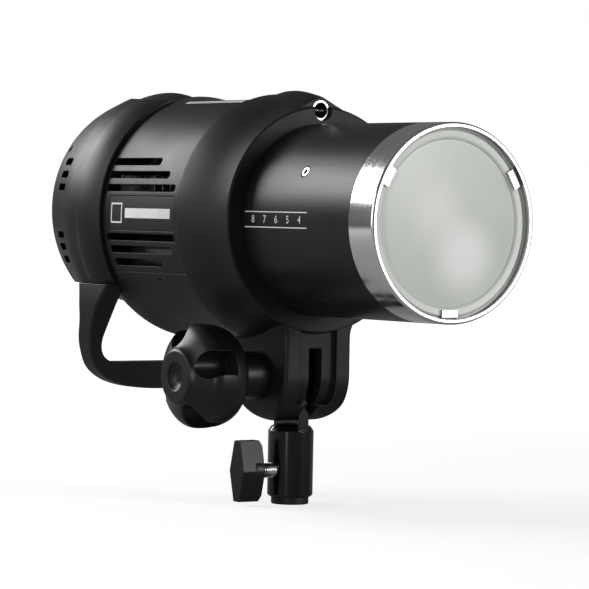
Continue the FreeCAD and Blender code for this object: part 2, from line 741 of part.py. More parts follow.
def bumper_dome():
    """Filled dome of the bumper above its foot: a swelling hoop, a round tail and a flattened top."""
    wires = []
    for station, radius, rise in BUMPER_SECTIONS:
        circle = Part.Circle(Vector(0, station, rise), Vector(0, 1, 0), radius)
        wires.append(Part.Wire(circle.toShape()))
    tail = Part.makeLoft(wires, True, False)
    hoop = turned_y([(BUMPER_FRONT, 0), (BUMPER_FRONT, HOOP_SWELL[0][1] - 0.4), HOOP_SWELL, (240.0, 0)])
    boss = Part.makeLoft([boss_wire(*section) for section in REAR_BOSS_SECTIONS], True, False)
    low = [(BUMPER_REAR + 8, 40.0), (BUMPER_REAR + 8, HOOP_FOOT), (215.0, HOOP_FOOT)]
    keep = closed_face([BUMPER_CREST] + low, lambda station, up: Vector(-95, station, up))
    return hoop.fuse(tail).common(keep.extrude(Vector(190, 0, 0))).fuse(boss.common(above(50)))


def belly(inset):
    """Filled belly of the bumper, or the space inside it."""
    curve = [(station, radius - inset) for station, radius in BELLY]
    return turned_y([(curve[0][0], 0), curve, (BUMPER_REAR, curve[-1][1] - 1.2), (BUMPER_REAR, 0)])


def bumper_body():
    return bumper_dome().fuse(belly(0)).removeSplitter()


def carry_handle():
    """Loop below the bumper: two arms and a cross-bar, slanting back as they go down."""
    outline = [
        (61.6, HOOP_FOOT), (62.4, -43.0), (HANDLE_HALF, -49.6), (61.4, -57.0), (59.6, -64.0), (57.0, -70.5),
        (53.4, -76.5), (48.6, -82.5), (42.9, -87.0), (35.0, -91.0), (23.5, -94.2), (12.0, -95.7),
        (0.0, HANDLE_FOOT),
    ]
    right = [Vector(x, 215, z) for x, z in outline]
    left = [Vector(-x, 215, z) for x, z in outline[:-1]]
    edges = [spline(right + list(reversed(left))), Part.makeLine(right[0], left[0])]
    stirrup = Part.Face(Part.Wire(edges)).extrude(Vector(0, 90, 0))
    side = closed_face([
        [(BUMPER_FRONT, HOOP_FOOT), (226.2, -42.0), (229.7, -46.5), (235.0, -54.0), (241.0, -62.6),
         (245.4, -69.0), (250.0, -75.0), (254.0, -80.3), (259.0, -87.0), (263.0, -93.0), (266.0, -98.0)],
        [(280.0, -98.0), (277.0, -93.0), (273.0, -87.0), (268.6, -80.0), (265.0, -75.0), (261.0, -68.6),
         (257.0, -62.0), (253.2, -54.0), (252.6, -46.0), (255.0, HOOP_FOOT)],
    ], lambda station, up: Vector(-70, station, up)).extrude(Vector(140, 0, 0))
    loop = stirrup.common(side)
    rims = []
    for edge in loop.Edges:
        bottom = min(vertex.Z for vertex in edge.Vertexes)
        if edge.Length > 60 and abs(edge.CenterOfMass.x) < 1 and edge.BoundBox.XLength > 110:
            if bottom > HOOP_FOOT - 0.1 and edge.BoundBox.ZLength > 40:
                rims.append(edge)
    loop = loop.makeFillet(HANDLE_EDGE, rims)
    gap = soft_block(-HANDLE_IN, HANDLE_IN, 210, 310, HANDLE_TOP, -20, 16.0, "y")
    for tool in (gap, cyl_y(BODY_R + SEAT, 200, BELLY_REAR + SEAT), bumper_dome(), belly(0)):
        loop = loop.cut(tool)
    return loop


def rear_vents():
    """Slots through the bumper's tail, in line with the side vents."""
    half = VENT_TALL / 2
    cutters = []
    for row in VENT_ROWS:
        up = row[0]
        pieces = [block(30, 90, 262, 271, up - half, up + half)]
        for station in (262, 271):
            pieces.append(cyl_x(half, 30, 90, station, up))
        cutters.extend(both_sides(fuse_all(pieces)))
    return cutters


def bumper_screw_places(shape):
    placed = []
    for angle in BUMPER_SCREW_ANGLES:
        turned = radial(shape, angle)
        turned.translate(Vector(0, BUMPER_SCREW_STATION, 0))
        placed.append(turned)
    return placed


def rear_bumper():
    """Soft cap over the casing's rear edge, open at the back for the panel."""
    room = turned_y([
        (CASING_REAR - 1, 0), (CASING_REAR - 1, 62.6), (262, 61.0), (276, 55.0),
        (PANEL_FRONT - SEAT, 51.8), (PANEL_FRONT - SEAT, 0),
    ])
    seat = casing_hull(SEAT, 200, CASING_REAR + SEAT).fuse(room).common(above(HOOP_FOOT + BUMPER_WALL))
    low_room = belly(BUMPER_WALL).common(block(-90, 90, 200, PANEL_FRONT - SEAT, -90, 90))
    space = fuse_all([seat, low_room, casing_hull(SEAT, 200, BELLY_REAR + SEAT)])
    ledge = ring_y(PANEL_R + 3, PANEL_R - 2, PANEL_FRONT - 3, PANEL_FRONT - SEAT, 0, REAR_RISE)
    opening = cyl_y(PANEL_R + 0.2, PANEL_FRONT - 1, 300, 0, REAR_RISE)
    body = bumper_body().cut(space.cut(ledge)).cut(opening.cut(ledge))
    half = body.common(block(0, 95, 190, 330, -95, 95))
    pocket = cyl_x(SIDE_SCREW_R + SEAT, 58.5, 72).fuse(cyl_x(SIDE_SCREW_R * 0.55 + SEAT, 50, 60))
    for tool in bumper_screw_places(pocket) + rear_vents():
        if tool.BoundBox.Center.x > 0:
            half = half.cut(tool)
    return fuse_all(both_sides(half)).removeSplitter()


def bumper_screws():
    screw = socket_screw(SIDE_SCREW_R, 6.0, 1.0, 1.3)
    screw.translate(Vector(60.4, 0, 0))
    return bumper_screw_places(screw)


# ---------------------------------------------------------------- rear panel and its controls
DIAL = (0.0, 5.0)        # (x, up) of each thing on the panel
DIAL_R = 14.0
DIAL_IN = 287.0
DIAL_OUT = 299.0
SHAFT_R = 3.0
BUTTONS = {
    "test_button": (-28.0, 14.0),
    "lamp_button": (-28.0, -1.0),
    "ready_button": (28.0, 14.0),
    "slave_button": (28.0, -1.0),
}
BUTTON_R = 4.6
JACK = (-37.0, -14.0)
JACK_R = 3.25            # takes a 6.35 mm plug
PORT = (35.0, -14.0)
SENSOR = (35.0, 24.0)
DISPLAY = (-22.0, 22.0, 24.5, 41.0)      # x0, x1, low, high
INLET = (-24.5, 14.0, -38.5, -17.5)
INLET_FRONT = 264.0
SWITCH = (17.0, 28.0, -34.5, -17.5)
PANEL_SCREWS = ((-44.5, REAR_RISE), (44.5, REAR_RISE), (0.0, REAR_RISE + 44.8), (5.0, -41.6))


def rear_panel():
    disc = cyl_y(PANEL_R, PANEL_FRONT, PANEL_BACK, 0, REAR_RISE)
    y0, y1 = PANEL_FRONT - 1, PANEL_BACK + 1
    tools = [
        cyl_y(SHAFT_R + GAP, y0, y1, *DIAL),
        cyl_y(4.3, y0, y1, *JACK),
        cyl_y(4.8, y0, y1, *SENSOR),
        block(PORT[0] - 6.8, PORT[0] + 6.8, y0, y1, PORT[1] - 3.2, PORT[1] + 3.2),
        block(DISPLAY[0], DISPLAY[1], y0 + 2, y1, DISPLAY[2], DISPLAY[3]),
        block(DISPLAY[0] + 2, DISPLAY[1] - 2, y0, y1, DISPLAY[2] + 2, DISPLAY[3] - 2),
        block(INLET[0] + 1, INLET[1] - 1, y0, y1, INLET[2] + 1, INLET[3] - 1),
        block(SWITCH[0] + 1, SWITCH[1] - 1, y0, y1, SWITCH[2] + 1, SWITCH[3] - 1),
    ]
    for spot in BUTTONS.values():
        tools.append(cyl_y(BUTTON_R + GAP, y0, y1, *spot))
    for spot in PANEL_SCREWS:
        tools.append(cyl_y(1.6, y0, y1, *spot))
    return disc.cut(Part.makeCompound(tools))


def panel_screws():
    """Pan-headed screws with a cross slot."""
    screws = []
    for x, z in PANEL_SCREWS:
        head = cyl_y(2.7, PANEL_BACK + SEAT, PANEL_BACK + 1.5, x, z)
        rim = [edge for edge in head.Edges if edge.Closed and edge.CenterOfMass.y > PANEL_BACK + 1.4]
        head = head.makeFillet(0.8, rim)
        shank = cyl_y(1.5, PANEL_FRONT - 5, PANEL_BACK + 0.5, x, z)
        slots = [
            block(x - 1.6, x + 1.6, PANEL_BACK + 0.8, PANEL_BACK + 3, z - 0.35, z + 0.35),
            block(x - 0.35, x + 0.35, PANEL_BACK + 0.8, PANEL_BACK + 3, z - 1.6, z + 1.6),
        ]
        screws.append(head.fuse(shank).cut(Part.makeCompound(slots)))
    return screws


def display_window():
    x0, x1, low, high = DISPLAY
    y0, y1 = PANEL_FRONT + 1 + SEAT, PANEL_BACK + 0.4
    return soft_block(x0 + SEAT, x1 - SEAT, y0, y1, low + SEAT, high - SEAT, 1.0, "y")


def display_module():
    x0, x1, low, high = DISPLAY
    return block(x0 + 1.5, x1 - 1.5, PANEL_FRONT - 5.4, PANEL_FRONT - 0.2, low + 1.5, high - 1.5)


def dial_shaft():
    """Push shaft of the rotary encoder: a square foot behind the panel and a round spindle."""
    x, z = DIAL
    foot = block(x - 4, x + 4, 276.2, 279.4, z - 4, z + 4)
    return foot.fuse(cyl_y(SHAFT_R, 279, 297, x, z)).removeSplitter()


def dial():
    """Knob with a domed face, a shallow finger dish and a ribbed rim."""
    x, z = DIAL
    body = turned_y([
        (DIAL_IN, SHAFT_R + RUN), (DIAL_IN, DIAL_R - 0.6), (DIAL_IN + 0.6, DIAL_R),
        (DIAL_OUT - 2.2, DIAL_R - 0.6), (DIAL_OUT - 0.6, DIAL_R - 1.9), (DIAL_OUT, DIAL_R - 3.4),
        (DIAL_OUT - 0.8, 6.0), (DIAL_OUT - 1.0, 0.0), (297.3, 0.0), (297.3, SHAFT_R + RUN),
    ], x, z)
    grooves = []
    count = 24
    for i in range(count):
        gx, gz = polar(DIAL_R + 0.35, 360.0 * i / count)
        grooves.append(cyl_y(0.9, DIAL_IN + 1.5, DIAL_OUT + 1, x + gx, z + gz))
    return body.cut(Part.makeCompound(grooves))


def button(spot):
    x, z = spot
    return turned_y([
        (281.0, 0.0), (281.0, BUTTON_R + 1.2), (282.4, BUTTON_R + 1.2), (282.4, BUTTON_R),
        (287.2, BUTTON_R), (287.9, BUTTON_R - 0.7), (287.6, 2.0), (287.5, 0.0),
    ], x, z)


def mains_inlet():
    """Appliance inlet and fuse holder in one moulding, with a flange on the panel's outside."""
    x0, x1, low, high = INLET
    core = block(x0 + 1.2, x1 - 1.2, INLET_FRONT, PANEL_BACK + SEAT, low + 1.2, high - 1.2)
    flange = soft_block(x0, x1, PANEL_BACK + SEAT, PANEL_BACK + 1.6, low, high, 2.0, "y")
    socket = soft_block(x0 + 2.6, x0 + 26.0, 270, 290, low + 3.0, high - 3.0, 3.0, "y")
    drawer = block(x0 + 29.0, x1 - 2.4, 268, 290, low + 2.6, high - 2.6)
    return core.fuse(flange).removeSplitter().cut(Part.makeCompound([socket, drawer]))


def inlet_pins():
    x0, _, low, high = INLET
    middle_x, middle_z = x0 + 14.3, (low + high) / 2
    pins = []
    for x, z in ((-7.0, 1.5), (0.0, -2.5), (7.0, 1.5)):
        pins.append(block(middle_x + x - 1, middle_x + x + 1, 270 + SEAT, 280, middle_z + z - 2, middle_z + z + 2))
    return pins


def fuse_drawer():
    x0, x1, low, high = INLET
    left, right = x0 + 29.0 + GAP, x1 - 2.4 - GAP
    body = block(left, right, 268 + GAP, PANEL_BACK + 1.0, low + 2.6 + GAP, high - 2.6 - GAP)
    lip = block(left, right, PANEL_BACK + 1.0, PANEL_BACK + 2.6, high - 7.0, high - 2.6 - GAP)
    hollow = block(left + 1, right - 1, 270, 280, -80, high - 6)
    return body.fuse(lip).removeSplitter().cut(hollow)


ROCKER_TILT = 7.0
ROCKER_STATION = 283.0
PIVOT_R = 1.2


def switch_bezel():
    x0, x1, low, high = SWITCH
    core = block(x0 + 1.2, x1 - 1.2, 270, PANEL_BACK + SEAT, low + 1.2, high - 1.2)
    flange = soft_block(x0, x1, PANEL_BACK + SEAT, PANEL_BACK + 1.2, low, high, 1.5, "y")
    well = block(x0 + 1.9, x1 - 1.9, 274, 290, low + 1.9, high - 1.9)
    pivot = cyl_x(PIVOT_R + RUN, x0, x1, ROCKER_STATION, (low + high) / 2)
    return core.fuse(flange).removeSplitter().cut(Part.makeCompound([well, pivot]))


def power_rocker():
    """Rocker at rest in its off place; it swings about a cross axis behind the panel's face."""
    x0, x1, low, high = SWITCH
    middle = (low + high) / 2
    half = (high - low) / 2 - 1.9 - 0.6
    face = closed_face([
        (ROCKER_STATION - 4, middle - half + 1.4), (ROCKER_STATION + 3.6, middle - half + 0.4),
        [(ROCKER_STATION + 4.0, middle - half + 0.8), (ROCKER_STATION + 2.9, middle),
         (ROCKER_STATION + 4.0, middle + half - 0.8)],
        (ROCKER_STATION + 3.6, middle + half - 0.4), (ROCKER_STATION - 4, middle + half - 1.4),
    ], lambda station, up: Vector(x0 + 1.9 + GAP, station, up))
    rocker = face.extrude(Vector(x1 - x0 - 3.8 - 2 * GAP, 0, 0))
    rocker.rotate(Vector(0, ROCKER_STATION, middle), Vector(1, 0, 0), -ROCKER_TILT)
    pivot = cyl_x(PIVOT_R, x0 + 1.3, x1 - 1.3, ROCKER_STATION, middle)
    return rocker.fuse(pivot).removeSplitter()


def sync_jack():
    x, z = JACK
    body = cyl_y(4.2, 266, PANEL_BACK + SEAT, x, z)
    nut = turned_y([
        (PANEL_BACK + SEAT, 0), (PANEL_BACK + SEAT, 5.6), (PANEL_BACK + 1.2, 5.6), (PANEL_BACK + 1.8, 5.0),
        (PANEL_BACK + 1.8, 0),
    ], x, z)
    return body.fuse(nut).removeSplitter().cut(cyl_y(JACK_R, 269, 300, x, z))


def usb_port():
    x, z = PORT
    shell = block(x - 6.5, x + 6.5, 270, PANEL_BACK + 0.4, z - 2.9, z + 2.9)
    shell = shell.cut(block(x - 5.9, x + 5.9, 273, 290, z - 2.3, z + 2.3))
    return shell.fuse(block(x - 5.2, x + 5.2, 272, 284.5, z + 0.2, z + 1.6)).removeSplitter()


def light_sensor():
    x, z = SENSOR
    return turned_y([
        (278, 0), (278, 4.5), (PANEL_BACK + 1.2, 4.5),
        [(PANEL_BACK + 1.3, 4.4), (PANEL_BACK + 3.4, 3.2), (PANEL_BACK + 4.4, 1.6), (PANEL_BACK + 4.7, 0)],
    ], x, z)


# ---------------------------------------------------------------- inside
BULKHEAD = 162.0
BOARD_UP = -6.0
FAN = (0.0, 10.0)        # (x, up) of the fan's axis
FAN_FRONT = 252.0
FAN_R = 25.0
CAN_ANGLES = (-150, -110, -70, -30)
CAN_R = 14.0


def chassis():
    """Bulkhead behind the collar with two rails that run back along the sides."""
    plate = casing_hull(-6.6, BULKHEAD, BULKHEAD + 2.5).cut(block(-90, 90, 150, 170, 58.5, 90))
    holes = [cyl_y(9.0, BULKHEAD - 1, BULKHEAD + 4, 0, 20)]
    for angle in range(45, 360, 90):
        x, z = polar(51, angle)
        holes.append(cyl_y(2.0, BULKHEAD - 1, BULKHEAD + 4, x, z))
    rails = both_sides(block(46, 54, BULKHEAD + 2, 250, -3, 1))
    return fuse_all([plate.cut(Part.makeCompound(holes))] + rails)


def capacitor_bank():
    cans = []
    for angle in CAN_ANGLES:
        x, z = polar(43.5, angle)
        can = turned_y([
            (BULKHEAD + 6, 0), (BULKHEAD + 6, CAN_R - 1), (BULKHEAD + 7, CAN_R), (BULKHEAD + 56, CAN_R),
            (BULKHEAD + 57, CAN_R - 1), (BULKHEAD + 57, 0),
        ], x, z)
        terminals = [cyl_y(2.2, BULKHEAD + 3, BULKHEAD + 7, x + dx, z) for dx in (-5, 5)]
        cans.append(can.multiFuse(terminals).removeSplitter())
    return cans


def power_board():
    return block(-42, 42, BULKHEAD + 4, 248, BOARD_UP, BOARD_UP + 1.6)


def transformer():
    core = block(8, 40, 182, 218, BOARD_UP + 1.7, BOARD_UP + 32)
    winding = soft_block(4, 44, 189, 211, BOARD_UP + 6, BOARD_UP + 28, 5.0, "y")
    return core.fuse(winding).removeSplitter()


def inductor():
    ring = Part.makeTorus(12.0, 6.0, Vector(-24, 192, BOARD_UP + 7.8), Vector(0, 0, 1))
    return ring


def heat_sink():
    base = block(-40, -8, 212, 246, BOARD_UP + 1.7, BOARD_UP + 5)
    fins = [block(x, x + 1.6, 212, 246, BOARD_UP + 4, BOARD_UP + 28) for x in range(-40, -8, 5)]
    return fuse_all([base] + fins)


def fan_housing():
    x, z = FAN
    frame = soft_block(x - 29, x + 29, FAN_FRONT, FAN_FRONT + 12, z - 29, z + 29, 5.0, "y")
    frame = frame.cut(cyl_y(FAN_R + 1.2, FAN_FRONT - 1, FAN_FRONT + 13, x, z))
    spokes = [cyl_y(10, FAN_FRONT, FAN_FRONT + 1.6, x, z)]
    for angle in range(0, 360, 90):
        spoke = block(8, FAN_R + 2, FAN_FRONT, FAN_FRONT + 1.6, -1.5, 1.5)
        spoke = radial(spoke, angle + 20)
        spoke.translate(Vector(x, 0, z))
        spokes.append(spoke)
    pin = cyl_y(1.5, FAN_FRONT, FAN_FRONT + 9, x, z)
    return fuse_all([frame] + spokes + [pin])


def fan_rotor():
    x, z = FAN
    front, rear = FAN_FRONT + 2.4, FAN_FRONT + 11.4
    hub = cyl_y(9.5, front, rear, x, z)
    blades = []
    count = 7
    for i in range(count):
        blade = block(8.5, FAN_R, -0.6, 0.6, -5.2, 5.2)
        blade.rotate(Vector(15, 0, 0), Vector(1, 0, 0), 38)
        blade.translate(Vector(0, (front + rear) / 2, 0))
        blade = radial(blade, 360.0 * i / count)
        blade.translate(Vector(x, 0, z))
        blades.append(blade)
    body = fuse_all([hub] + blades)
    return body.cut(cyl_y(1.5 + RUN, front - 1, FAN_FRONT + 9 + GAP, x, z))


def control_board():
    disc = cyl_y(45.0, 271.0, 272.6, 0, REAR_RISE)
    return disc.cut(block(-60, 60, 260, 280, -90, -9)).common(block(-46, 46, 260, 280, -90, 90))


# ---------------------------------------------------------------- main
HEAD_PIECES = (
    front_tube, tube_screws, front_ring, glass_plate, glass_clips, reflector, lamp_plate, flash_tube,
    flash_sockets, modelling_lamp, lamp_socket, front_collar, tilt_yoke, umbrella_tube, tilt_spacer,
    tilt_washer, tilt_stud, tilt_knob, knob_insert, upper_casing, lower_casing, casing_screws, side_plates,
    shoulder_strips, rear_bumper, carry_handle, bumper_screws, rear_panel, panel_screws, display_window,
    display_module, dial_shaft, dial, mains_inlet, inlet_pins, fuse_drawer, switch_bezel, power_rocker,
    sync_jack, usb_port, light_sensor, chassis, capacitor_bank, power_board, transformer, inductor,
    heat_sink, fan_housing, fan_rotor, control_board,
)
STAND_PIECES = (adapter_body, adapter_bush, friction_discs, lock_pad, lock_thread, lock_wing)


def main():
    os.makedirs("parts", exist_ok=True)
    for piece in HEAD_PIECES:
        save_head(piece.__name__, piece())
    for name, spot in BUTTONS.items():
        save_head(name, button(spot))
    for piece in STAND_PIECES:
        save(piece.__name__, piece())


main()
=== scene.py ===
import bpy
import bmesh
import math
from mathutils import Matrix, Vector


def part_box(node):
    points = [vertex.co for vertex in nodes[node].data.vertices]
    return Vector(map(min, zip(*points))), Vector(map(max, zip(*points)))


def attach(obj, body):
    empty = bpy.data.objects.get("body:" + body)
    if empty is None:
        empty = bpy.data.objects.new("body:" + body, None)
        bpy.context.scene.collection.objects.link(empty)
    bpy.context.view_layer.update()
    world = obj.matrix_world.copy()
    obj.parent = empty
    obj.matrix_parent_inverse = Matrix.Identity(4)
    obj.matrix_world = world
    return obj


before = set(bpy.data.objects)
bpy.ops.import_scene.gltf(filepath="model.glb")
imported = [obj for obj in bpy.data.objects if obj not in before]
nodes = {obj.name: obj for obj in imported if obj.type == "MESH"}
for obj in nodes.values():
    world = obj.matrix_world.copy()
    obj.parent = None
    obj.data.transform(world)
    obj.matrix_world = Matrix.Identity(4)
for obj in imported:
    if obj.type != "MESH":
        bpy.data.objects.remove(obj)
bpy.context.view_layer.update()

MM = 0.001
CENTRE = (0.0, 0.0, 0.14)
NOISE_RANGE = (0.3, 0.7)          # where a noise texture spends most of its values
EDGE_TURN = (0.995, 0.86)         # cosine between true and bevelled normal: on a flat, on an edge
MOTTLE_SCALE = 28.0
WEAR_SCALE = 220.0
STEEL_COLOR = (0.72, 0.72, 0.74)
# colour of the painted highlights on the frosted glass
GLASS_HIGHLIGHT_COLOUR = (0.93, 0.95, 0.92, 1.0)

# Places read from the CAD frame.
TUBE_LOW, TUBE_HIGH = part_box("front_tube")
RING_LOW, RING_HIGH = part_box("front_ring")
AXIS_Z = (TUBE_LOW.z + TUBE_HIGH.z) / 2
TUBE_R = (TUBE_HIGH.z - TUBE_LOW.z) / 2
RIM_Y = RING_LOW.y

# Painted highlights on the frosted glass, standing in for the lamp and dish shining through it, with a
# painted pale rim: place from its middle, inner and outer radius (mm), strength.
GLASS_PAINTED_HIGHLIGHTS = (
    ((9.0, 0.0, -17.0), (4.0, 26.0), 0.85),
    ((-8.0, 0.0, 4.0), (2.0, 24.0), 0.35),
    ((0.0, 0.0, 0.0), (46.5, 39.0), 0.45),
)


# ---------------------------------------------------------------- materials
def shader_of(material):
    return material.node_tree.nodes["Principled BSDF"]


def new_material(name, color, roughness, metallic=0.0):
    material = bpy.data.materials.new(name)
    material.use_nodes = True
    shader = shader_of(material)
    shader.inputs["Base Color"].default_value = (*color, 1.0)
    shader.inputs["Roughness"].default_value = roughness
    shader.inputs["Metallic"].default_value = metallic
    material.diffuse_color = (*color, 1.0)
    return material


def add_node(material, kind, **values):
    node = material.node_tree.nodes.new(kind)
    for key, value in values.items():
        if key in node.inputs:
            node.inputs[key].default_value = value
        else:
            setattr(node, key, value)
    return node


def link(material, source, target):
    material.node_tree.links.new(source, target)


def object_coords(material, stretch=(1.0, 1.0, 1.0)):
    coords = add_node(material, "ShaderNodeTexCoord")
    mapping = add_node(material, "ShaderNodeMapping")
    mapping.inputs["Scale"].default_value = stretch
    link(material, coords.outputs["Object"], mapping.inputs["Vector"])
    return mapping.outputs["Vector"]


def noise(material, scale, detail=3.0, stretch=(1.0, 1.0, 1.0), roughness=0.55):
    texture = add_node(material, "ShaderNodeTexNoise", Scale=scale, Detail=detail, Roughness=roughness)
    link(material, object_coords(material, stretch), texture.inputs["Vector"])
    return texture.outputs["Fac"]


def map_range(material, value, source, target, **values):
    """Maps a value from one range onto another."""
    ranger = add_node(material, "ShaderNodeMapRange", **values)
    for key, number in zip(("From Min", "From Max", "To Min", "To Max"), (*source, *target)):
        ranger.inputs[key].default_value = number
    link(material, value, ranger.inputs["Value"])
    return ranger.outputs["Result"]


def spread(material, value, low, high):
    """Maps a noise onto a range."""
    return map_range(material, value, NOISE_RANGE, (low, high))


def blend(material, factor, first, second):
    """Mix of two colours, each given as a socket or as a plain colour."""
    mix = add_node(material, "ShaderNodeMix", data_type="RGBA")
    link(material, factor, mix.inputs["Factor"])
    for key, colour in (("A", first), ("B", second)):
        if isinstance(colour, tuple):
            mix.inputs[key].default_value = colour
        else:
            link(material, colour, mix.inputs[key])
    return mix.outputs["Result"]


def vary_roughness(material, low, high, scale=35.0, stretch=(1.0, 1.0, 1.0)):
    value = spread(material, noise(material, scale, 4.0, stretch), low, high)
    link(material, value, shader_of(material).inputs["Roughness"])


def edge_mask(material, radius):
    """1 on sharp edges and 0 on flats, from how far a bevelled normal turns from the true one."""
    bevel = add_node(material, "ShaderNodeBevel", Radius=radius, samples=6)
    geometry = add_node(material, "ShaderNodeNewGeometry")
    dot = add_node(material, "ShaderNodeVectorMath", operation="DOT_PRODUCT")
    link(material, bevel.outputs["Normal"], dot.inputs[0])
    link(material, geometry.outputs["Normal"], dot.inputs[1])
    return map_range(material, dot.outputs["Value"], EDGE_TURN, (0.0, 1.0)), bevel.outputs["Normal"]


def finish_surface(
        material, grain_scale, grain_depth, wear=None, wear_radius=0.0006, mottle=0.12, stretch=(1, 1, 1)):
    """Adds grain, rounded and slightly worn edges, and a faint colour variation to a material."""
    shader = shader_of(material)
    base = tuple(shader.inputs["Base Color"].default_value)[:3]
    dark = (*(value * (1 - mottle) for value in base), 1.0)
    light = (*(value * (1 + mottle) for value in base), 1.0)
    patches = spread(material, noise(material, MOTTLE_SCALE, 5.0), 0.0, 1.0)
    colour = blend(material, patches, dark, light)
    mask, normal = edge_mask(material, wear_radius)
    if wear:
        patchy = add_node(material, "ShaderNodeMath", operation="MULTIPLY")
        link(material, mask, patchy.inputs[0])
        link(material, spread(material, noise(material, WEAR_SCALE, 3.0), 0.15, 1.0), patchy.inputs[1])
        colour = blend(material, patchy.outputs["Value"], colour, (*wear, 1.0))
    link(material, colour, shader.inputs["Base Color"])
    bump = add_node(material, "ShaderNodeBump", Strength=1.0, Distance=grain_depth)
    link(material, noise(material, grain_scale, 2.0, stretch), bump.inputs["Height"])
    link(material, normal, bump.inputs["Normal"])
    link(material, bump.outputs["Normal"], shader.inputs["Normal"])
    return material


def black_material(
        name, color, specular, rough, grain, depth, wear, wear_radius=0.0006, stretch=(1, 1, 1)):
    """Black plastic or paint: weak reflection, uneven roughness, a fine grain and slightly rubbed edges."""
    material = new_material(name, (color, color * 0.98, color), sum(rough) / 2)
    shader_of(material).inputs["Specular IOR Level"].default_value = specular
    vary_roughness(material, *rough, 40.0, stretch)
    rubbed = (wear, wear, wear * 1.01)
    return finish_surface(material, grain, depth, wear=rubbed, wear_radius=wear_radius, stretch=stretch)


def casing_material():
    return black_material(
        "casing_satin_black", color=0.0085, specular=0.24, rough=(0.38, 0.47),
        grain=2600.0, depth=0.000012, wear=0.024)


def cast_material():
    return black_material(
        "collar_painted_cast", color=0.0095, specular=0.24, rough=(0.42, 0.52),
        grain=1900.0, depth=0.000016, wear=0.034, wear_radius=0.0008)


def tube_material():
    return black_material(
        "tube_satin_black", color=0.0075, specular=0.26, rough=(0.33, 0.41),
        grain=3000.0, depth=0.000008, wear=0.03, stretch=(1.0, 0.3, 1.0))


def gloss_material():
    return black_material(
        "knob_satin_black", color=0.0085, specular=0.32, rough=(0.30, 0.38),
        grain=420.0, depth=0.000008, wear=0.022, wear_radius=0.0007)


def adapter_material():
    material = black_material(
        "adapter_gloss_black", color=0.004, specular=0.32, rough=(0.13, 0.2),
        grain=500.0, depth=0.000010, wear=0.04, wear_radius=0.0005)
    shader_of(material).inputs["Coat Weight"].default_value = 0.12
    shader_of(material).inputs["Coat Roughness"].default_value = 0.08
    return material


def turned_metal(name, color, roughness, lines=2600.0, depth=0.000004):
    """Bright metal with fine lathe lines around the fore-and-aft axis."""
    material = new_material(name, color, roughness, 1.0)
    vary_roughness(material, roughness * 0.75, roughness * 1.4, 40.0, (1.0, 12.0, 1.0))
    return finish_surface(material, lines, depth, mottle=0.04, wear_radius=0.0003, stretch=(0.02, 1.0, 0.02))


def steel_material(name, color, roughness, edge=0.0003):
    material = new_material(name, color, roughness, 1.0)
    vary_roughness(material, roughness * 0.7, roughness * 1.5, 90.0)
    return finish_surface(material, 1500.0, 0.000006, mottle=0.06, wear_radius=edge)


def frosted_glass():
    """Sand-blasted plate, faintly green, with painted highlights where the dish behind it is deepest,
    standing in for the light it throws through the glass, and a painted pale rim.
    """
    material = new_material("frosted_glass", (0.60, 0.63, 0.585), 0.42)
    shader = shader_of(material)
    shader.inputs["IOR"].default_value = 1.47
    shader.inputs["Coat Weight"].default_value = 0.25
    shader.inputs["Coat Roughness"].default_value = 0.28
    finish_surface(material, 1800.0, 0.00002, mottle=0.03, wear_radius=0.0004)
    low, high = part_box("glass_plate")
    middle = (low + high) / 2
    tint = shader.inputs["Base Color"].links[0].from_socket
    # blend painted highlight into the glass colour round each place
    for place, (inner, outer), strength in GLASS_PAINTED_HIGHLIGHTS:
        distance = add_node(material, "ShaderNodeVectorMath", operation="DISTANCE")
        link(material, add_node(material, "ShaderNodeTexCoord").outputs["Object"], distance.inputs[0])
        distance.inputs[1].default_value = middle + Vector(place) * MM
        reach = (inner * MM, outer * MM)
        glow = map_range(
            material, distance.outputs["Value"], reach, (strength, 0.0), interpolation_type="SMOOTHSTEP")
        tint = blend(material, glow, tint, GLASS_HIGHLIGHT_COLOUR)
    link(material, tint, shader.inputs["Base Color"])
    return material


def clear_glass(name, color, roughness=0.03):
    material = new_material(name, color, roughness)
    shader_of(material).inputs["Transmission Weight"].default_value = 0.9
    vary_roughness(material, roughness, roughness * 3, 50.0)
    return material


def plain(name, color, roughness, metallic=0.0, grain=1500.0, depth=0.00001, wear=None):
    material = new_material(name, color, roughness, metallic)
    vary_roughness(material, roughness * 0.88, min(roughness * 1.12, 1.0), 50.0)
    return finish_surface(material, grain, depth, wear=wear, wear_radius=0.0004)


